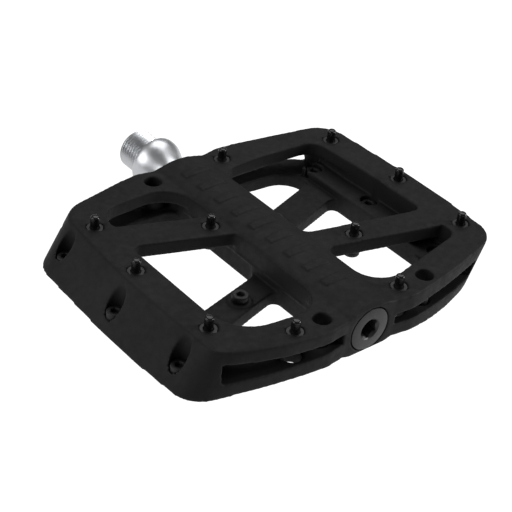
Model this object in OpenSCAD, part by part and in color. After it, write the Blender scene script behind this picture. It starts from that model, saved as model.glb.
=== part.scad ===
// Flat platform pedal: a moulded platform that spins on a short threaded spindle.
// Frame: +Y runs along the spindle towards the crank, +Z is up, +X completes the set.
// Origin: on the spindle axis, in the plane of the shoulder that seats on the crank.
// The platform is the same on both faces: half a turn about the spindle maps it onto itself.
// Platform stations are measured along the spindle from the outboard end face (y = 0 there).

/* [Platform] */
// Thickness of the platform at the spindle, between the two tread faces
platform_t = 14.3; // [14:0.1:15]
// How much each tread face rises from the middle to 50 mm out, for a concave tread
concavity = 0.7; // [0.4:0.1:1]
// Thickness of each tread layer, from its face to the gap between the layers
layer_t = 5; // [4.8:0.1:5.2]
// Half width from the spindle to the leading edge of a tread
lead_x = 64.8; // [64:0.2:65.4]
// Half width from the spindle to the trailing edge of a tread
trail_x = 55; // [54.4:0.2:55.4]
// How far the wings bulge past the flat end faces of the axle housing
wing_bulge = 1.1; // [0.8:0.1:1.4]

/* [Axle housing] */
// Width of the housing that runs along the middle of the platform
housing_w = 19.4; // [19:0.2:19.8]
// Height of the housing over its crowned faces
housing_h = 17.4; // [17:0.1:18]
// Length of the housing along the spindle
housing_len = 99.4; // [99:0.2:100]

/* [Spindle] */
// Distance from the outboard end face of the platform to the crank shoulder
shoulder_y = 113; // [112.5:0.5:116]
// Outer diameter of the 9/16 inch crank thread
thread_d = 14.288; // [14.2:0.002:14.3]
// Thread pitch (20 threads per inch)
thread_pitch = 1.27; // [1.27]
// Length of the thread from the shoulder to the free end
thread_len = 11.5; // [10.6:0.1:13]
// Diameter of the shoulder
shoulder_d = 19.2; // [18.6:0.1:19.6]
// Diameter of the inboard journal that runs in the sleeve bushing
journal_d = 11; // [10.6:0.1:11.4]
// Size across flats of the hex socket in the crank end
spindle_hex = 8; // [6:1:8]

/* [Bearings] */
// Bore of the cartridge bearings
bearing_id = 6; // [6]
// Outside diameter of the cartridge bearings
bearing_od = 15; // [15]
// Width of one cartridge bearing
bearing_w = 5; // [5]
// Balls in each bearing
ball_count = 9; // [7:1:10]

/* [Traction pins] */
// Shank diameter of the pin screws
pin_d = 3; // [2.9:0.1:3]
// Height of the pin tips above the tread
pin_stand = 4; // [3:0.1:5]
// Diameter of the pin screws' heads
pin_head_d = 5.5; // [5.3:0.1:5.5]
// Height of the pin screws' heads
pin_head_h = 2.4; // [2.2:0.1:2.6]
// Diameter of the access holes to the heads
access_d = 6.1; // [5.9:0.1:6.2]
// Size across flats of the captive nuts
nut_af = 5.5; // [5.4:0.1:5.5]

/* [Hidden] */
$fn = 48;

half_t = platform_t / 2;
gap_z = half_t - layer_t;
crown_z = housing_h / 2;
dish_x = 50;
dish_r = pow(dish_x, 2) / (2 * concavity);
rim_z = half_t + 1.7 * concavity;
far_bulge = wing_bulge + 0.4;
slip = 0.04;

// Trailing flange: it reaches in to flange_x above flange_z, the wall below it to wall_x
flange_x = 43.9;
wall_x = 52.5;
flange_z = 0.4;

// Pins of the upper tread: [x, station, height of the head's seat]; the outer row's heads
// sit deeper because their access holes open on the sloping edge of the other tread, and
// the two on the struts sit on a boss that stands down from the strut
seat = 3.2;
slope_seat = 4.4;
strut_seat = 1.6;
boss_r = 4;
PINS = [[14.8, 93.9, seat], [56.3, 83.3, slope_seat], [59.3, 51.1, slope_seat],
        [58.2, 19.7, slope_seat], [23.5, 34.6, strut_seat], [16.1, 5.5, seat], [-27.0, 5.2, seat],
        [-48.4, 19.6, seat], [-49.9, 54.3, seat], [-47.3, 80.6, seat], [-14.3, 62.7, strut_seat]];
// Pins that stand in the slotted end walls, where half a post joins the two layers
POSTS = [0, 5, 6];
post_r = 4.4;
post_setback = 5.5;
nut_h = 2.4;
nut_sink = 0.35;
rib_h = 0.45;

// Stations inside the axle housing
cap_flange = 1.4;
cap_bore_r = 7.8;
cap_end = 6.8;
cap_hex = 6;
cap_socket_depth = 4.6;
cap_mouth_r = 3.7;
outer_bearing_y = 13;
washer_t = 1.2;
spacer_w = 1.2;
inner_bearing_y = outer_bearing_y + bearing_w + spacer_w;
bearing_stop_y = inner_bearing_y + bearing_w;
bushing_y0 = 74;
bushing_y1 = 95.2;
bushing_r = journal_d / 2 + 1.2;
seal_r = 8;
rim_w = 1.3;
bell_len = 11;
thread_plain = 0.5;
thread_chamfer = 0.6;
socket_depth = 6;
pitch_r = (bearing_id + bearing_od) / 4;
ball_r = 1.2;

// ---------- helpers ----------

function unit(v) = v / norm(v);
function ang(v) = atan2(v[1], v[0]);

// Arc that rounds corner b, between points a and c, with radius r
function corner(a, b, c, r) =
    let (u = unit(a - b), w = unit(c - b),
         half = acos(u * w) / 2,
         centre = b + unit(u + w) * r / sin(half),
         from = ang(b + u * r / tan(half) - centre),
         to = ang(b + w * r / tan(half) - centre),
         turn = (to - from + 540) % 360 - 180,
         steps = max(1, ceil(abs(turn) / 12)))
    [for (i = [0:steps]) centre + r * [cos(from + turn * i / steps), sin(from + turn * i / steps)]];

// Closed outline whose corners are [x, y, radius]; radius 0 keeps the corner sharp
function rounded(p) =
    let (n = len(p))
    [for (i = [0:n - 1])
        let (a = p[(i + n - 1) % n], b = p[i], c = p[(i + 1) % n])
        each (b[2] == 0 ? [[b[0], b[1]]]
            : corner([a[0], a[1]], [b[0], b[1]], [c[0], c[1]], b[2]))];

// Puts what is built along +Z from its own origin along +Y at a station of the platform
module at_station(y) {
    translate([0, y - shoulder_y, 0]) rotate([-90, 0, 0]) children();
}

// Puts what is drawn in platform stations into the part's frame
module platform_frame() {
    translate([0, -shoulder_y, 0]) children();
}

// The same thing on the other face
module other_face() {
    rotate([0, 180, 0]) children();
}

module both_faces() {
    children();
    other_face() children();
}

module ring(r_in, r_out, h) {
    difference() {
        cylinder(r = r_out, h = h);
        translate([0, 0, -1]) cylinder(r = r_in, h = h + 2);
    }
}

module hex_prism(af, h) {
    cylinder(r = af / sqrt(3), h = h, $fn = 6);
}

// ---------- platform ----------

// Height of a tread face at a distance from the spindle
function tread_z(x) = half_t + concavity * pow(x / dish_x, 2);

// Outline of one tread: leading edge on +X, trailing edge on -X
function tread_outline() = let (near = -wing_bulge, far = housing_len + far_bulge) rounded([
    [-20, near, 40],
    [17.6, near, 40],
    [40, near + 3.6, 100],
    [lead_x - 1.6, 8.2, 10.5],
    [lead_x + 0.4, 43, 150],
    [lead_x - 2.2, far - 8.6, 10.5],
    [44, far - 4.4, 60],
    [19, far, 40],
    [-17.6, far, 40],
    [-trail_x + 3.2, far - 7.4, 12.5],
    [-trail_x - 0.5, 52, 120],
    [-trail_x + 0.4, 9.2, 6],
    [-46.5, near + 6.2, 20],
    [-32, near + 1.6, 40]]);

// Space between two dished faces whose height at the spindle is z, mirrored below
module dished_slab(z) {
    span = 140;
    difference() {
        translate([-span / 2, -20, -20]) cube([span, span, 40]);
        both_faces() translate([0, span, z + dish_r])
            rotate([90, 0, 0]) cylinder(r = dish_r, h = 2 * span, $fn = 360);
    }
}

module blank() {
    sliver = 0.02;
    intersection() {
        hull() both_faces()
            translate([0, 0, rim_z - sliver]) linear_extrude(sliver) polygon(tread_outline());
        dished_slab(half_t);
    }
}

// The four windows of one tread, between the frame, the struts and the housing
module tread_windows() {
    edge = housing_w / 2;
    polygon(rounded([[-edge, 9.7, 11], [-edge, 54.8, 3], [-flange_x, 65.9, 2.5],
                     [-flange_x, 13.2, 14]]));
    polygon(rounded([[-edge, 66.8, 2], [-edge, 89.6, 12], [-flange_x + 2.1, 87.4, 9],
                     [-flange_x + 2.1, 77.5, 1.6]]));
    polygon(rounded([[edge, 8, 10], [wall_x, 16.4, 4.5], [wall_x, 22.2, 1.4], [edge, 33.6, 2.6]]));
    polygon(rounded([[edge, 43.7, 4], [wall_x + 0.5, 32.9, 2.4], [wall_x, 61, 80],
                     [wall_x - 2, 86, 7], [25, 88, 60], [edge, 87.3, 6]]));
}

// Plan of the open space between the two layers, on the +X side
module gap_plan() {
    edge = housing_w / 2 + 0.3;
    polygon(rounded([[edge, 8, 3], [30, 12, 30], [flange_x, 15.6, 3], [flange_x, 86, 3],
                     [30, 87.6, 30], [edge, 89, 3]]));
}

// Plan of the pocket above the flange, where the gap reaches on out to the wall
module flange_plan() {
    polygon(rounded([[flange_x - 1, 17, 0], [wall_x - 0.5, 18, 2], [wall_x - 0.5, 85, 3],
                     [flange_x - 1, 86, 0]]));
}

// Slot through both end walls on the +X side; it grows taller towards the outer end
module end_slot() {
    inner = 10.9;
    outer = 53;
    translate([0, housing_len + 10, 0]) rotate([90, 0, 0]) linear_extrude(housing_len + 20)
        polygon(rounded([[inner, 1.3, 0.3], [inner, -2.5, 0.5], [34, -2.5, 60],
                         [outer - 0.6, -3.7, 1], [outer, 3, 1], [34, 2.5, 60], [16.5, 1.6, 4]]));
}

module layer_gap() {
    wall_reach = 16;
    intersection() {
        translate([0, 0, -half_t]) linear_extrude(platform_t) gap_plan();
        dished_slab(gap_z);
    }
    intersection() {
        translate([0, 0, flange_z]) linear_extrude(half_t) flange_plan();
        dished_slab(gap_z);
    }
    difference() {
        end_slot();
        translate([0, wall_reach, -half_t])
            cube([60, housing_len - 2 * wall_reach, platform_t]);
    }
}

// Space inside both crowns of the housing, grown outwards by extra
module crowned_bar(extra) {
    rise = crown_z - half_t;
    crown_r = (pow(housing_w / 2, 2) + pow(rise, 2)) / (2 * rise);
    intersection_for (z = [crown_z - crown_r, crown_r - crown_z])
        translate([0, housing_len, z])
            rotate([90, 0, 0]) cylinder(r = crown_r + extra, h = housing_len, $fn = 96);
}

// The housing bar; its crowns slope down to the outboard end face
module housing_solid() {
    slope_len = 1.9;
    end_z = crown_z - 1;
    intersection() {
        rotate([90, 0, 90]) translate([0, 0, -housing_w / 2]) linear_extrude(housing_w)
            polygon([[0, end_z], [slope_len, crown_z], [housing_len, crown_z],
                     [housing_len, -crown_z], [slope_len, -crown_z], [0, -end_z]]);
        crowned_bar(0);
    }
}

// Plain raised ribs across the housing's crowns, a generic grip pattern
module crown_ribs() {
    rib_w = 10;
    rib_l = 3.2;
    intersection() {
        for (y = [16:9:88])
            translate([-rib_w / 2, y, -crown_z - 1]) cube([rib_w, rib_l, housing_h + 2]);
        crowned_bar(rib_h);
    }
}

module pin_cuts() {
    for (p = PINS) {
        nut_z = tread_z(p[0]) - nut_sink - nut_h;
        translate([p[0], p[1], -rim_z - 1]) cylinder(d = access_d, h = p[2] + rim_z + 1);
        translate([p[0], p[1], 0]) cylinder(d = pin_d, h = rim_z + 1);
        translate([p[0], p[1], nut_z]) hex_prism(nut_af, nut_h + 2);
    }
}

module housing_bores() {
    rotate([-90, 0, 0]) {
        translate([0, 0, -3]) cylinder(r = cap_bore_r, h = cap_end + 3);
        cylinder(r = bearing_od / 2, h = bearing_stop_y);
        cylinder(r = 6, h = housing_len);
        translate([0, 0, bushing_y0]) cylinder(r = bushing_r, h = housing_len);
        translate([0, 0, bushing_y1]) cylinder(r = seal_r, h = housing_len);
    }
}

// What is cut away so that the bulging wings run in to the flat end faces of the housing
module end_face_cuts() {
    flat_x = housing_w / 2;
    wing_x = 18;
    tall = 2 * rim_z + 2;
    for (m = [0, 1]) {
        bulge = m == 0 ? wing_bulge : far_bulge;
        translate([0, m * housing_len, -tall / 2]) mirror([0, m, 0]) linear_extrude(tall)
            polygon([[-wing_x, -bulge - 1], [wing_x, -bulge - 1], [wing_x, -bulge],
                     [flat_x, 0], [-flat_x, 0], [-wing_x, -bulge]]);
    }
}

module posts() {
    intersection() {
        both_faces() for (i = POSTS)
            translate([PINS[i][0], PINS[i][1], -half_t]) cylinder(r = post_r, h = platform_t);
        translate([-housing_len / 2, post_setback, -half_t])
            cube([housing_len, housing_len - 2 * post_setback, platform_t]);
    }
}

// Round bosses under the struts, each with a seat for the head of its pin
module strut_bosses() {
    for (p = PINS)
        if (p[2] == strut_seat)
            translate([p[0], p[1], p[2]]) cylinder(r = boss_r, h = half_t - p[2] - 1);
}

module platform_body() {
    color([0.07, 0.07, 0.075]) platform_frame() difference() {
        union() {
            difference() {
                blank();
                both_faces() {
                    translate([0, 0, flange_z]) linear_extrude(rim_z) tread_windows();
                    layer_gap();
                }
            }
            posts();
            both_faces() strut_bosses();
            housing_solid();
            crown_ribs();
        }
        both_faces() pin_cuts();
        housing_bores();
        end_face_cuts();
    }
}

// ---------- traction pins and their nuts ----------

module pin_screw(p) {
    top = tread_z(p[0]) + pin_stand - p[2];
    round_h = 0.5;
    socket_af = 2.5;
    translate([p[0], p[1] - shoulder_y, p[2]]) difference() {
        rotate_extrude()
            polygon([[0, -pin_head_h], [pin_head_d / 2 - 0.3, -pin_head_h],
                     [pin_head_d / 2, -pin_head_h + 0.3], [pin_head_d / 2, 0], [pin_d / 2, 0],
                     [pin_d / 2, top - round_h], [pin_d / 2 - round_h, top], [0, top]]);
        translate([0, 0, -pin_head_h - 1]) hex_prism(socket_af, 2.4);
    }
}

module tread_nuts() {
    for (p = PINS)
        translate([p[0], p[1] - shoulder_y, tread_z(p[0]) - nut_sink - nut_h]) difference() {
            hex_prism(nut_af, nut_h);
            translate([0, 0, -1]) cylinder(d = pin_d, h = nut_h + 2);
        }
}

module upper_nuts() {
    color([0.16, 0.16, 0.17]) tread_nuts();
}

module lower_nuts() {
    color([0.16, 0.16, 0.17]) other_face() tread_nuts();
}

// ---------- spindle and what stays with it ----------

// Profile of the 9/16 inch thread, with annular grooves standing in for the helix
function thread_profile(start) =
    let (crest = thread_d / 2, core = crest - 0.72,
         turns = floor((thread_len - thread_plain - thread_chamfer) / thread_pitch))
    concat(
        [[crest, start]],
        [for (i = [0:turns - 1], v = [[crest, 0], [core, 0.45], [core, 0.65], [crest, 1.1]])
            [v[0], start + thread_plain + i * thread_pitch + v[1]]],
        [[crest, start + thread_len - thread_chamfer],
         [crest - thread_chamfer, start + thread_len], [0, start + thread_len]]);

// Profile of the bell that flares from the journal out to the shoulder's rim
function bell_profile(start) =
    let (rise = (shoulder_d - journal_d) / 2, foot = start - rim_w - bell_len)
    concat(
        [for (i = [0:12]) [journal_d / 2 + rise * (1 - cos(i * 15)) / 2, foot + bell_len * i / 12]],
        [[shoulder_d / 2, start - 0.3], [shoulder_d / 2 - 0.3, start]]);

module spindle() {
    tip_y = 7.4;
    tip_r = bearing_id / 2 - 0.5;
    seat_y = outer_bearing_y - washer_t;
    waist_r = bearing_id / 2 + 0.9;
    color([0.78, 0.79, 0.8]) difference() {
        at_station(0) rotate_extrude($fn = 72) polygon(concat(
            [[0, tip_y], [tip_r - 0.4, tip_y], [tip_r, tip_y + 0.4], [tip_r, seat_y],
             [bearing_id / 2, seat_y], [bearing_id / 2, bearing_stop_y],
             [waist_r, bearing_stop_y], [waist_r, bearing_stop_y + 6],
             [journal_d / 2, bushing_y0 - 8]],
            bell_profile(shoulder_y),
            thread_profile(shoulder_y)));
        at_station(shoulder_y + thread_len - socket_depth) hex_prism(spindle_hex, socket_depth + 1);
    }
}

module lock_nut() {
    color([0.35, 0.35, 0.37]) at_station(outer_bearing_y - washer_t - 3.5) difference() {
        hex_prism(10, 3.5);
        translate([0, 0, -1]) cylinder(r = bearing_id / 2 - 0.5, h = 6);
    }
}

module lock_washer() {
    color([0.6, 0.6, 0.62]) at_station(outer_bearing_y - washer_t)
        ring(bearing_id / 2, 4.9, washer_t);
}

module bearing_spacer() {
    color([0.6, 0.6, 0.62]) at_station(outer_bearing_y + bearing_w)
        ring(bearing_id / 2, 4.5, spacer_w);
}

// ---------- cartridge bearings ----------

module race(r_in, r_out) {
    rotate_extrude($fn = 72) difference() {
        translate([r_in, 0]) square([r_out - r_in, bearing_w]);
        translate([pitch_r, bearing_w / 2]) circle(r = ball_r + slip);
    }
}

module inner_ring(y) {
    color([0.8, 0.8, 0.82]) at_station(y) race(bearing_id / 2, pitch_r - 0.7);
}

module outer_ring(y) {
    color([0.8, 0.8, 0.82]) at_station(y) race(pitch_r + 0.7, bearing_od / 2);
}

module balls(y) {
    color([0.85, 0.85, 0.87]) at_station(y + bearing_w / 2)
        for (i = [0:ball_count - 1])
            rotate([0, 0, i * 360 / ball_count]) translate([pitch_r, 0, 0]) sphere(r = ball_r);
}

module cage(y) {
    color([0.55, 0.42, 0.2]) at_station(y + bearing_w / 2) difference() {
        translate([0, 0, -1.3]) ring(pitch_r - 0.45, pitch_r + 0.45, 2.6);
        for (i = [0:ball_count - 1])
            rotate([0, 0, i * 360 / ball_count]) translate([pitch_r - 2, 0, 0])
                rotate([0, 90, 0]) cylinder(r = ball_r + slip, h = 4);
    }
}

module shields(y) {
    color([0.12, 0.12, 0.13]) at_station(y)
        for (z = [0.05, bearing_w - 0.45])
            translate([0, 0, z]) ring(pitch_r - 0.62, pitch_r + 0.7, 0.4);
}

module outer_bearing_inner_ring() { inner_ring(outer_bearing_y); }
module outer_bearing_outer_ring() { outer_ring(outer_bearing_y); }
module outer_bearing_balls() { balls(outer_bearing_y); }
module outer_bearing_cage() { cage(outer_bearing_y); }
module outer_bearing_shields() { shields(outer_bearing_y); }
module inner_bearing_inner_ring() { inner_ring(inner_bearing_y); }
module inner_bearing_outer_ring() { outer_ring(inner_bearing_y); }
module inner_bearing_balls() { balls(inner_bearing_y); }
module inner_bearing_cage() { cage(inner_bearing_y); }
module inner_bearing_shields() { shields(inner_bearing_y); }

// ---------- bushing, seal and end cap ----------

module sleeve_bushing() {
    color([0.45, 0.36, 0.22]) at_station(bushing_y0)
        ring(journal_d / 2 + slip, bushing_r, bushing_y1 - bushing_y0);
}

module axle_seal() {
    lip = journal_d / 2 + slip;
    color([0.05, 0.05, 0.05]) at_station(bushing_y1) rotate_extrude()
        polygon([[lip + 0.7, 0], [seal_r, 0], [seal_r, 4], [lip + 1, 4], [lip, 3.3], [lip, 2.7]]);
}

module end_cap() {
    color([0.3, 0.3, 0.31]) at_station(0) difference() {
        rotate_extrude()
            polygon([[0, 0], [cap_bore_r - 0.6, 0], [cap_bore_r - 0.3, 0.3],
                     [cap_bore_r - 0.3, cap_flange], [cap_bore_r - 1.2, cap_flange],
                     [cap_bore_r - 1.2, cap_flange + 1.1], [cap_bore_r, cap_flange + 1.1],
                     [cap_bore_r, cap_end], [0, cap_end]]);
        translate([0, 0, -1]) hex_prism(cap_hex, cap_socket_depth + 1);
        translate([0, 0, -1]) cylinder(r1 = cap_mouth_r + 1.4, r2 = cap_mouth_r - 0.7, h = 2.1);
    }
}

module cap_o_ring() {
    color([0.04, 0.04, 0.04]) at_station(cap_flange + 0.55) rotate_extrude()
        translate([cap_bore_r - 0.65, 0]) circle(r = 0.5);
}

// ---------- the part ----------

platform_body();
spindle();
lock_nut();
lock_washer();
bearing_spacer();
sleeve_bushing();
axle_seal();
end_cap();
cap_o_ring();
outer_bearing_outer_ring();
outer_bearing_inner_ring();
outer_bearing_balls();
outer_bearing_cage();
outer_bearing_shields();
inner_bearing_outer_ring();
inner_bearing_inner_ring();
inner_bearing_balls();
inner_bearing_cage();
inner_bearing_shields();
upper_nuts();
lower_nuts();
for (i = [1:11]) {
    color([0.16, 0.16, 0.17]) pin_screw(PINS[i - 1]);
    color([0.16, 0.16, 0.17]) other_face() pin_screw(PINS[i - 1]);
}
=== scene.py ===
"""Flat bicycle pedal: the looks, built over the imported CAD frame."""

import math

import bmesh
import bpy
from mathutils import Matrix, Vector


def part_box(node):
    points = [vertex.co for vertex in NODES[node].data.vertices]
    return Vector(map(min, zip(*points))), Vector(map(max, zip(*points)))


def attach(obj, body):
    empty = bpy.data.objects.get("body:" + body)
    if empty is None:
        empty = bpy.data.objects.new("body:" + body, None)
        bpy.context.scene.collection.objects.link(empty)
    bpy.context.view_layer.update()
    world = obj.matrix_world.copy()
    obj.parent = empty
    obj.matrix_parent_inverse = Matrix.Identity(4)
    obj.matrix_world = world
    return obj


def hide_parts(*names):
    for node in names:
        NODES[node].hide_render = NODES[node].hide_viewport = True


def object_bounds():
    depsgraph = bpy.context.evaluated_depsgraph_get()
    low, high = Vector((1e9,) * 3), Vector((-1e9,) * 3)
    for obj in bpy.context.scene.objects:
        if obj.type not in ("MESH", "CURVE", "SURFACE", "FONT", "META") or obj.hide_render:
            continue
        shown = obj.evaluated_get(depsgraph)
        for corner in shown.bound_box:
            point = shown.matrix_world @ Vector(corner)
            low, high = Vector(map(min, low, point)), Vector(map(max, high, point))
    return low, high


MM = 0.001
TAU = 2 * math.pi

# Camera: the point it looks at (mm), its direction, distance and lens
TARGET = (-5.47, -64.02, 0.0)
AZIMUTH = -42.99
ELEVATION = 34.61
ROLL = 6.75
DISTANCE = 475.8
LENS = 102.97

# Softening of the moulded body: grid depth, the share of the grid that the body fills,
# the smoothing passes over the whole skin and over the tread's edges, and the share of
# that smoothing which the ribs get
BODY_DEPTH = 8
BODY_SCALE = 0.97
BODY_SMOOTHING = 6
EDGE_SMOOTHING = 8
RIB_KEEP = 0.35

# Fine sizes that the frame leaves to the looks (mm)
EDGE_REACH = 2.6
RIB_REACH_X = 6
RIB_BASE_Z = 8.3
HOUSING_REACH_X = 10
OUTLINE_MIN_Z = 7.1
TREAD_Z = 7.3
CRANK_THREAD_R = 7.144
CRANK_THREAD_PITCH = 1.27
CRANK_THREAD_DEPTH = 0.72
PIN_PITCH = 0.5
PIN_THREAD_DEPTH = 0.02
PIN_R = 1.5
PIN_STAND = 4.0
PIN_NOSE = 0.8
HEAD_R = 2.75
HEAD_H = 2.4
HEAD_SOCKET = 2.5
NUT_AF = 5.5
NUT_H = 2.1
NUT_SINK = 0.35
CAP_SOCKET = 6.0
CAP_SOCKET_DEPTH = 4.6
CAP_MOUTH_R = 3.75
TIP_R = 2.5
BEARING_SEAT_R = 3.0
SHAFT_R = 3.9
JOURNAL_R = 5.5
RIM_W = 1.3
BELL_LEN = 11.0
FLARE_STEPS = 24
SPINDLE_SOCKET = 8.0

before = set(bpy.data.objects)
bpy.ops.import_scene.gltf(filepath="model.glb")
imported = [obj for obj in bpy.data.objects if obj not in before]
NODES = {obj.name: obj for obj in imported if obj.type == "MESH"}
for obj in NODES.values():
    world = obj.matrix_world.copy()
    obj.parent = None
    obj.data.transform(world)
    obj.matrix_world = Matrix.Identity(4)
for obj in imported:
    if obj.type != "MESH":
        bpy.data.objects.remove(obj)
CAD_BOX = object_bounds()


# ---------- mesh building ----------

def axis_point(r, angle, along, axis):
    """A point at radius r and an angle about an axis, and a distance along it (mm)."""
    a, b = r * math.sin(angle), r * math.cos(angle)
    return (a, along, b) if axis == "Y" else (b, a, along)


def rings_to_object(name, rings):
    """A closed skin through rings of points (mm); a ring of one point is a pole."""
    verts, starts = [], []
    for ring in rings:
        starts.append(len(verts))
        verts.extend((x * MM, y * MM, z * MM) for x, y, z in ring)
    faces = []
    for k in range(len(rings) - 1):
        a, b = rings[k], rings[k + 1]
        n = max(len(a), len(b))
        for i in range(n):
            j = (i + 1) % n
            quad = [starts[k] + (i if len(a) > 1 else 0), starts[k] + (j if len(a) > 1 else 0),
                    starts[k + 1] + (j if len(b) > 1 else 0),
                    starts[k + 1] + (i if len(b) > 1 else 0)]
            faces.append([v for t, v in enumerate(quad) if v not in quad[:t]])
    mesh = bpy.data.meshes.new(name)
    mesh.from_pydata(verts, [], faces)
    mesh.validate()
    obj = bpy.data.objects.new(name, mesh)
    bpy.context.scene.collection.objects.link(obj)
    fix_normals(obj)
    return obj


def fix_normals(obj):
    """Turns every face outwards."""
    bm = bmesh.new()
    bm.from_mesh(obj.data)
    bmesh.ops.recalc_face_normals(bm, faces=bm.faces)
    bm.to_mesh(obj.data)
    bm.free()


def shade(obj, degrees):
    """Smooth shading, with edges sharper than that angle kept crisp."""
    obj.data.shade_smooth()
    obj.data.set_sharp_from_angle(angle=math.radians(degrees))


def ring(r, along, count, axis):
    """One ring; r and along are numbers or functions of the angle."""
    out = []
    for i in range(count):
        angle = TAU * i / count
        radius = r(angle) if callable(r) else r
        z = along(angle) if callable(along) else along
        out.append(axis_point(radius, angle, z, axis))
    return out


def pole(along, axis):
    """A ring of one point, on the axis."""
    return [axis_point(0, 0, along, axis)]


def hexagon(af, turn=0.0):
    """Radius of a hexagon of that size across flats, as a function of the angle."""
    def radius(angle):
        return af / 2 / math.cos((angle + turn) % (math.pi / 3) - math.pi / 6)
    return radius


def thread(crest, depth, pitch, start, fade_in, end, fade_out):
    """Radius of a right-hand thread as a function of (distance along, angle).

    The groove has a narrow root, sloping flanks and a narrow crest.
    """
    def radius(y, angle):
        phase = (y / pitch - angle / TAU) % 1.0
        groove = min(1.0, max(0.0, (abs(phase - 0.5) - 0.07) / 0.36))
        full = min(1.0, max(0.0, (y - start) / fade_in), max(0.0, (end - y) / fade_out))
        return crest - depth * (1 - groove) * full
    return radius


# ---------- materials ----------

class Nodes:
    """A small helper around one material's node tree."""

    def __init__(self, name):
        self.material = bpy.data.materials.new(name)
        self.material.use_nodes = True
        self.tree = self.material.node_tree
        self.shader = self.tree.nodes["Principled BSDF"]
        self.coords = self.add("ShaderNodeTexCoord").outputs["Object"]

    def add(self, kind, **values):
        node = self.tree.nodes.new(kind)
        for key, value in values.items():
            setattr(node, key, value)
        return node

    def link(self, a, b):
        self.tree.links.new(a, b)

    def noise(self, scale, detail=3.0, rough=0.5, stretch=None):
        node = self.add("ShaderNodeTexNoise")
        node.inputs["Scale"].default_value = scale
        node.inputs["Detail"].default_value = detail
        node.inputs["Roughness"].default_value = rough
        source = self.coords
        if stretch:
            mapping = self.add("ShaderNodeMapping")
            mapping.inputs["Scale"].default_value = stretch
            self.link(source, mapping.inputs["Vector"])
            source = mapping.outputs["Vector"]
        self.link(source, node.inputs["Vector"])
        return node.outputs["Fac"]

    def spread(self, value, low, high, start=0.3, stop=0.7):
        node = self.add("ShaderNodeMapRange")
        node.inputs["From Min"].default_value = start
        node.inputs["From Max"].default_value = stop
        node.inputs["To Min"].default_value = low
        node.inputs["To Max"].default_value = high
        self.link(value, node.inputs["Value"])
        return node.outputs["Result"]

    def blend(self, value, dark, light):
        node = self.add("ShaderNodeMix", data_type="RGBA")
        node.inputs["A"].default_value = (*dark, 1)
        node.inputs["B"].default_value = (*light, 1)
        self.link(value, node.inputs["Factor"])
        return node.outputs["Result"]

    def bump(self, value, strength, distance, below=None):
        node = self.add("ShaderNodeBump")
        node.inputs["Strength"].default_value = strength
        node.inputs["Distance"].default_value = distance * MM
        self.link(value, node.inputs["Height"])
        if below:
            self.link(below, node.inputs["Normal"])
        return node.outputs["Normal"]

    def edge(self, low, high):
        """0 on flat stretches, 1 on worn convex edges."""
        geometry = self.add("ShaderNodeNewGeometry")
        return self.spread(geometry.outputs["Pointiness"], 0.0, 1.0, low, high)

    def finish(self, colour, rough, normal=None, metallic=0.0, **sockets):
        self.link(colour, self.shader.inputs["Base Color"])
        self.link(rough, self.shader.inputs["Roughness"])
        if normal:
            self.link(normal, self.shader.inputs["Normal"])
        self.shader.inputs["Metallic"].default_value = metallic
        for key, value in sockets.items():
            self.shader.inputs[key.replace("_", " ")].default_value = value
        return self.material


def nylon():
    """Moulded nylon: a matte skin with fine grain, a little paler where edges are worn."""
    m = Nodes("moulded_nylon")
    cloud = m.noise(45, 4)
    grain = m.noise(2600, 2, 0.6)
    mottle = m.noise(420, 3, 0.6)
    colour = m.blend(m.spread(cloud, 0, 1), (0.0050, 0.0047, 0.0050), (0.0085, 0.0080, 0.0085))
    worn = m.add("ShaderNodeMix", data_type="RGBA")
    m.link(m.edge(0.515, 0.60), worn.inputs["Factor"])
    m.link(colour, worn.inputs["A"])
    worn.inputs["B"].default_value = (0.016, 0.0155, 0.016, 1)
    rough = m.spread(mottle, 0.56, 0.72)
    normal = m.bump(grain, 0.3, 0.04, m.bump(mottle, 0.12, 0.12))
    return m.finish(worn.outputs["Result"], rough, normal, Specular_IOR_Level=0.12)


def steel(name, dark, light, rough, turned=True):
    """Bare steel; where it is turned, its fine tool marks run around the spindle's axis."""
    m = Nodes(name)
    marks = m.noise(900, 3, 0.6, (0.05, 1, 0.05) if turned else (1, 1, 1))
    cloud = m.noise(160, 3)
    colour = m.blend(m.spread(cloud, 0, 1), dark, light)
    normal = m.bump(marks, 0.15, 0.02)
    return m.finish(colour, m.spread(cloud, rough[0], rough[1]), normal, 1.0)


def coated(name, dark, light, rough, metallic=0.0, specular=0.5):
    """A smooth metal, rubber or coated surface with fine specks."""
    m = Nodes(name)
    speck = m.noise(1400, 3, 0.6)
    cloud = m.noise(120, 3)
    colour = m.blend(m.spread(cloud, 0, 1), dark, light)
    normal = m.bump(speck, 0.2, 0.02)
    return m.finish(colour, m.spread(speck, rough[0], rough[1]), normal, metallic,
                    Specular_IOR_Level=specular)


def pin_oxide():
    """Black oxide, dull on the sunken heads and rubbed smoother on the ends that stand out."""
    m = Nodes("pin_black_oxide")
    speck = m.noise(1400, 3, 0.6)
    cloud = m.noise(120, 3)
    colour = m.blend(m.spread(cloud, 0, 1), (0.003, 0.0028, 0.003), (0.007, 0.0065, 0.007))
    parts = m.add("ShaderNodeSeparateXYZ")
    m.link(m.coords, parts.inputs["Vector"])
    height = m.add("ShaderNodeMath", operation="ABSOLUTE")
    m.link(parts.outputs["Z"], height.inputs[0])
    rough = m.spread(height.outputs["Value"], 0.55, 0.2, TREAD_Z * MM, (TREAD_Z + 1) * MM)
    return m.finish(colour, rough, m.bump(speck, 0.2, 0.02), Specular_IOR_Level=0.25)


def paint(obj, material):
    """Gives every material slot of an object that one material, adding a slot where there is none.
    """
    slots = obj.data.materials
    if not slots:
        slots.append(material)
    for k in range(len(slots)):
        slots[k] = material


# ---------- pieces ----------

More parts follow.
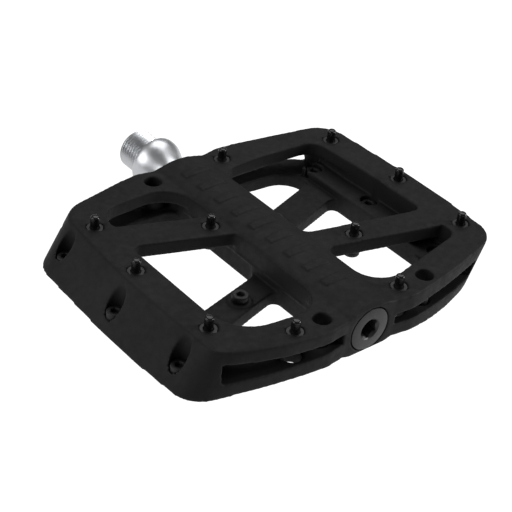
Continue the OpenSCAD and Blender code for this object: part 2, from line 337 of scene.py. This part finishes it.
def tread_outline(mesh, side):
    """Convex outline in plan (mm) of the tread on that side (+1 upper, -1 lower)."""
    points = sorted({(round(v.co.x / MM, 2), round(v.co.y / MM, 2)) for v in mesh.vertices
                     if v.co.z * side / MM > OUTLINE_MIN_Z})
    hull = []
    for row in (points, points[::-1]):
        half = []
        for p in row:
            while len(half) > 1 and turn_of(half[-2], half[-1], p) <= 0:
                half.pop()
            half.append(p)
        hull += half[:-1]
    return hull


def turn_of(a, b, c):
    """Positive where the way from a through b to c turns left."""
    return (b[0] - a[0]) * (c[1] - a[1]) - (b[1] - a[1]) * (c[0] - a[0])


def outline_distance(hull, x, y):
    """Distance (mm) from a point to the closed outline."""
    best = 1e9
    for k, (ax, ay) in enumerate(hull):
        bx, by = hull[(k + 1) % len(hull)]
        dx, dy = bx - ax, by - ay
        t = max(0.0, min(1.0, ((x - ax) * dx + (y - ay) * dy) / max(1e-9, dx * dx + dy * dy)))
        best = min(best, math.hypot(x - ax - t * dx, y - ay - t * dy))
    return best


def weigh_platform(obj, outlines):
    """Vertex groups: "soft" for the whole skin, less on the ribs, and "edge" for the rims."""
    soft = obj.vertex_groups.new(name="soft")
    edge = obj.vertex_groups.new(name="edge")
    rib, plain = [], []
    for v in obj.data.vertices:
        x, y, z = v.co.x / MM, v.co.y / MM, v.co.z / MM
        (rib if abs(x) < RIB_REACH_X and abs(z) > RIB_BASE_Z else plain).append(v.index)
        tall = abs(z) - (TREAD_Z - EDGE_REACH)
        if tall > 0 and abs(x) > HOUSING_REACH_X:
            near = 1 - outline_distance(outlines[z > 0], x, y) / EDGE_REACH
            if near > 0:
                edge.add([v.index], min(1.0, 2 * near) * min(1.0, tall), "REPLACE")
    soft.add(plain, 1.0, "REPLACE")
    soft.add(rib, RIB_KEEP, "REPLACE")


def build_platform(material):
    """The moulded platform, with its edges softened as a mould leaves them."""
    source = NODES["platform_body"]
    obj = source.copy()
    obj.data = source.data.copy()
    obj.name = "platform_moulding"
    bpy.context.scene.collection.objects.link(obj)
    obj.parent = None
    obj.matrix_world = source.matrix_world
    remesh = obj.modifiers.new("skin", "REMESH")
    remesh.mode = "SHARP"
    remesh.octree_depth = BODY_DEPTH
    remesh.scale = BODY_SCALE
    remesh.sharpness = 1.0
    remesh.use_remove_disconnected = False
    outlines = {up: tread_outline(source.data, 1 if up else -1) for up in (True, False)}
    bake(obj)
    weigh_platform(obj, outlines)
    for name, count in (("soft", BODY_SMOOTHING), ("edge", EDGE_SMOOTHING)):
        soften = obj.modifiers.new(name, "SMOOTH")
        soften.factor = 0.5
        soften.iterations = count
        soften.vertex_group = name
    bake(obj)
    obj.data.shade_smooth()
    paint(obj, material)
    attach(obj, "platform")
    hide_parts("platform_body")
    return obj


def bake(obj):
    """Turns an object's modifiers into its mesh."""
    graph = bpy.context.evaluated_depsgraph_get()
    mesh = bpy.data.meshes.new_from_object(obj.evaluated_get(graph))
    obj.modifiers.clear()
    obj.data = mesh


def build_spindle(material):
    """The forged spindle with its rolled crank thread and hex socket."""
    low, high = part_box("spindle")
    tip, end, rim_r = low[1] / MM, high[1] / MM, high[0] / MM
    ring_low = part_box("outer_bearing_inner_ring")[0]
    ring_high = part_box("inner_bearing_inner_ring")[1]
    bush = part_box("sleeve_bushing")
    crest = CRANK_THREAD_R
    count = 96
    helix = thread(crest, CRANK_THREAD_DEPTH, CRANK_THREAD_PITCH, 0.5, 0.9, end - 0.5, 0.4)
    seat_start, seat_end = ring_low[1] / MM - 1.2, ring_high[1] / MM
    profile = [(TIP_R - 0.4, tip), (TIP_R, tip + 0.4), (TIP_R, seat_start),
               (BEARING_SEAT_R, seat_start), (BEARING_SEAT_R, seat_end),
               (SHAFT_R, seat_end), (SHAFT_R, seat_end + 6),
               (JOURNAL_R, bush[0][1] / MM - 8)]
    for k in range(FLARE_STEPS + 1):
        share = k / FLARE_STEPS
        flare = (1 - math.cos(math.pi * share)) / 2
        profile.append((JOURNAL_R + (rim_r - JOURNAL_R) * flare,
                        -RIM_W - BELL_LEN * (1 - share)))
    profile += [(rim_r, -0.35), (rim_r - 0.1, -0.1), (rim_r - 0.35, 0), (crest + 0.2, 0)]
    rings = [pole(tip, "Y")]
    for r, y in profile:
        rings.append(ring(r, y, count, "Y"))
    rows = int(end / CRANK_THREAD_PITCH * 14)
    for k in range(rows + 1):
        y = 0.02 + (end - 0.04) * k / rows
        bevel = max(0.0, y - (end - 0.7))
        rings.append(ring(lambda a, y=y, b=bevel: min(helix(y, a), crest - b), y, count, "Y"))
    mouth = hexagon(SPINDLE_SOCKET)
    rings.append(ring(crest - 0.9, end, count, "Y"))
    rings.append(ring(lambda a: mouth(a) + 0.25, end, count, "Y"))
    rings.append(ring(mouth, end - 0.25, count, "Y"))
    rings.append(ring(mouth, end - 6, count, "Y"))
    rings.append(pole(end - 7, "Y"))
    obj = rings_to_object("spindle_forging", rings)
    shade(obj, 40)
    paint(obj, material)
    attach(obj, "spindle_unit")
    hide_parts("spindle")


def build_pin(name, material, flip):
    """A socket-head pin screw: head below, threaded shank standing up through the tread."""
    low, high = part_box(name)
    x, y = (low[0] + high[0]) / 2 / MM, (low[1] + high[1]) / 2 / MM
    bottom, top = (-high[2] / MM, -low[2] / MM) if flip else (low[2] / MM, high[2] / MM)
    seat = bottom + HEAD_H
    visible = top - PIN_STAND - 0.6
    count = 30
    helix = thread(PIN_R, PIN_THREAD_DEPTH, PIN_PITCH, visible, 0.3, top, 0.3)
    socket = hexagon(HEAD_SOCKET)
    rings = [pole(bottom + 1.5, "Z"), ring(socket, bottom + 1.3, count, "Z"),
             ring(socket, bottom + 0.1, count, "Z"),
             ring(lambda a: socket(a) + 0.1, bottom, count, "Z"),
             ring(HEAD_R - 0.35, bottom, count, "Z"), ring(HEAD_R - 0.12, bottom + 0.1, count, "Z"),
             ring(HEAD_R, bottom + 0.35, count, "Z"), ring(HEAD_R, seat - 0.1, count, "Z"),
             ring(HEAD_R - 0.1, seat, count, "Z"), ring(PIN_R, seat, count, "Z"),
             ring(PIN_R, visible - 0.05, count, "Z")]
    rows = int((top - visible) / PIN_PITCH * 8)
    for k in range(rows + 1):
        z = visible + (top - 0.02 - visible) * k / rows
        left = top - z
        nose = PIN_R
        if left < PIN_NOSE:
            nose -= PIN_NOSE * (1 - math.sqrt(max(0.0, 1 - (1 - left / PIN_NOSE) ** 2)))
        rings.append(ring(lambda a, z=z, n=nose: min(helix(z, a), n), z, count, "Z"))
    rings.append(pole(top, "Z"))
    obj = rings_to_object(name + "_screw", rings)
    place(obj, x, y, flip)
    shade(obj, 50)
    paint(obj, material)
    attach(obj, "platform")
    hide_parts(name)


def place(obj, x, y, flip):
    """Moves a piece built about the Z axis to (x, y) mm, turned over for the lower tread."""
    turn = Matrix.Rotation(math.pi, 4, "Y") if flip else Matrix.Identity(4)
    obj.data.transform(Matrix.Translation((x * MM, y * MM, 0)) @ turn)


def nut_rings(bottom, top):
    """A hex nut with chamfered corners and a countersunk bore."""
    count = 48
    outer = hexagon(NUT_AF - 0.1)
    flat = NUT_AF / 2 * 0.97
    bore = PIN_R + 0.02

    def crown(a):
        return top - 0.35 * max(0.0, outer(a) - flat) / 0.42
    return [ring(bore, bottom, count, "Z"), ring(outer, bottom, count, "Z"),
            ring(outer, crown, count, "Z"), ring(flat, top, count, "Z"),
            ring(bore + 0.25, top, count, "Z"), ring(bore, top - 0.25, count, "Z"),
            ring(bore, bottom, count, "Z")]


def build_nuts(node, prefix, material, flip):
    """The captive nuts of one tread, one piece each."""
    for k in range(1, 12):
        low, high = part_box(f"{prefix}_pin_{k}")
        x, y = (low[0] + high[0]) / 2 / MM, (low[1] + high[1]) / 2 / MM
        tread = (-low[2] if flip else high[2]) / MM - PIN_STAND
        top = tread - NUT_SINK
        obj = rings_to_object(f"{prefix}_nut_{k}", nut_rings(top - NUT_H, top))
        place(obj, x, y, flip)
        shade(obj, 20)
        paint(obj, material)
        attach(obj, "platform")
        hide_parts(node)


def build_cap(material):
    """The threaded end cap with its hex socket."""
    low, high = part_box("end_cap")
    y0, y1, r_thread = low[1] / MM, high[1] / MM, high[0] / MM
    face = r_thread - 0.3
    count = 72
    mouth = hexagon(CAP_SOCKET)
    helix = thread(r_thread, 0.3, 0.75, y0 + 2.6, 0.2, y1, 0.3)
    depth = y0 + CAP_SOCKET_DEPTH
    rings = [pole(depth, "Y"), ring(lambda a: mouth(a) - 0.4, depth, count, "Y"),
             ring(mouth, depth - 0.4, count, "Y"), ring(mouth, y0 + 0.9, count, "Y"),
             ring(lambda a: max(mouth(a), CAP_MOUTH_R - 0.35), y0 + 0.45, count, "Y"),
             ring(CAP_MOUTH_R, y0 + 0.1, count, "Y"), ring(CAP_MOUTH_R + 0.12, y0, count, "Y"),
             ring(face - 0.45, y0, count, "Y"), ring(face - 0.12, y0 + 0.12, count, "Y"),
             ring(face, y0 + 0.45, count, "Y"), ring(face, y0 + 1.4, count, "Y"),
             ring(face - 0.9, y0 + 1.4, count, "Y"), ring(face - 0.9, y0 + 2.5, count, "Y"),
             ring(r_thread, y0 + 2.5, count, "Y")]
    rows = 40
    for k in range(rows + 1):
        y = y0 + 2.6 + (y1 - y0 - 2.65) * k / rows
        rings.append(ring(lambda a, y=y: helix(y, a), y, count, "Y"))
    rings += [ring(r_thread - 0.4, y1, count, "Y"), pole(y1, "Y")]
    obj = rings_to_object("end_cap_turning", rings)
    shade(obj, 35)
    paint(obj, material)
    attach(obj, "platform")
    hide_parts("end_cap")


# ---------- scene ----------

def build_camera():
    """The camera of the main view, rolled a little about its own axis."""
    az, el, roll = (math.radians(v) for v in (AZIMUTH, ELEVATION, ROLL))
    back = Vector((math.sin(az) * math.cos(el), -math.cos(az) * math.cos(el), math.sin(el)))
    level = Vector((math.cos(az), math.sin(az), 0))
    up = back.cross(level)
    right = math.cos(roll) * level + math.sin(roll) * up
    tilted = -math.sin(roll) * level + math.cos(roll) * up
    data = bpy.data.cameras.new("camera")
    data.lens = LENS
    data.sensor_width = 36
    data.clip_start = 0.01
    camera = bpy.data.objects.new("camera", data)
    bpy.context.scene.collection.objects.link(camera)
    rotation = Matrix((right, tilted, back)).transposed().to_4x4()
    spot = (Vector(TARGET) + back * DISTANCE) * MM
    camera.matrix_world = Matrix.Translation(spot) @ rotation
    bpy.context.scene.camera = camera


def build_floor():
    """A pale floor, low enough for the platform to turn all the way round above it."""
    drop = CAD_BOX[0][0] - 5 * MM
    size = 3.0
    mesh = bpy.data.meshes.new("floor")
    mesh.from_pydata([(-size, -size, drop), (size, -size, drop), (size, size, drop),
                      (-size, size, drop)], [], [(0, 1, 2, 3)])
    floor = bpy.data.objects.new("floor", mesh)
    bpy.context.scene.collection.objects.link(floor)
    m = Nodes("pale_floor")
    colour = m.blend(m.noise(3), (0.09, 0.09, 0.09), (0.11, 0.11, 0.11))
    m.link(colour, m.shader.inputs["Base Color"])
    m.shader.inputs["Roughness"].default_value = 0.9
    m.shader.inputs["Emission Color"].default_value = (1, 1, 1, 1)
    m.shader.inputs["Emission Strength"].default_value = 1.0
    floor.data.materials.append(m.material)


def area_light(name, spot, aim, size, power):
    data = bpy.data.lights.new(name, "AREA")
    data.shape = "RECTANGLE"
    data.size, data.size_y = size
    data.energy = power
    light = bpy.data.objects.new(name, data)
    bpy.context.scene.collection.objects.link(light)
    light.location = spot
    light.rotation_euler = (Vector(aim) - Vector(spot)).to_track_quat("-Z", "Y").to_euler()


def build_light():
    world = bpy.data.worlds.new("studio")
    world.use_nodes = True
    world.node_tree.nodes["Background"].inputs["Color"].default_value = (1, 1, 1, 1)
    world.node_tree.nodes["Background"].inputs["Strength"].default_value = 0.2
    bpy.context.scene.world = world
    middle = (0, -0.06, 0)
    area_light("key", (0.35, 0.25, 0.75), middle, (0.7, 0.7), 4.5)
    area_light("fill", (-0.75, 0.2, 0.45), middle, (0.8, 0.6), 5.5)
    area_light("strip", (0.75, -0.55, 0.35), middle, (0.12, 0.5), 7)
    bpy.context.scene.view_settings.view_transform = "Standard"


def main():
    build_camera()
    build_floor()
    build_light()

    black = nylon()
    bright = steel("spindle_steel", (0.43, 0.44, 0.455), (0.51, 0.52, 0.535), (0.32, 0.42))
    dark = pin_oxide()
    nut = coated("nut_black_oxide", (0.004, 0.0038, 0.004), (0.008, 0.0075, 0.008), (0.4, 0.5),
                 specular=0.25)
    cap = coated("cap_anodised", (0.020, 0.0195, 0.020), (0.033, 0.032, 0.033), (0.38, 0.48), 0.7)
    ground = steel("bearing_steel", (0.6, 0.6, 0.6), (0.66, 0.66, 0.66), (0.2, 0.3))
    polish = steel("ball_steel", (0.7, 0.7, 0.7), (0.75, 0.75, 0.75), (0.08, 0.14), False)
    brass = coated("cage_brass", (0.50, 0.36, 0.15), (0.62, 0.47, 0.22), (0.3, 0.42), 1.0)
    bronze = coated("bushing_bronze", (0.36, 0.27, 0.14), (0.46, 0.35, 0.19), (0.45, 0.6), 1.0)
    rubber = coated("seal_rubber", (0.018, 0.018, 0.018), (0.03, 0.03, 0.03), (0.55, 0.7))
    small = steel("small_steel", (0.40, 0.40, 0.41), (0.48, 0.48, 0.49), (0.25, 0.38))

    carried = {
        "lock_nut": small, "lock_washer": small, "bearing_spacer": small,
        "sleeve_bushing": bronze, "axle_seal": rubber, "cap_o_ring": rubber,
        "outer_bearing_outer_ring": ground, "outer_bearing_inner_ring": ground,
        "inner_bearing_outer_ring": ground, "inner_bearing_inner_ring": ground,
        "outer_bearing_balls": polish, "inner_bearing_balls": polish,
        "outer_bearing_cage": brass, "inner_bearing_cage": brass,
        "outer_bearing_shields": rubber, "inner_bearing_shields": rubber}
    for node, material in carried.items():
        paint(NODES[node], material)

    build_platform(black)
    build_spindle(bright)
    build_cap(cap)
    for prefix, flip in (("upper", False), ("lower", True)):
        for k in range(1, 12):
            build_pin(f"{prefix}_pin_{k}", dark, flip)
        build_nuts(f"{prefix}_nuts", prefix, nut, flip)


main()
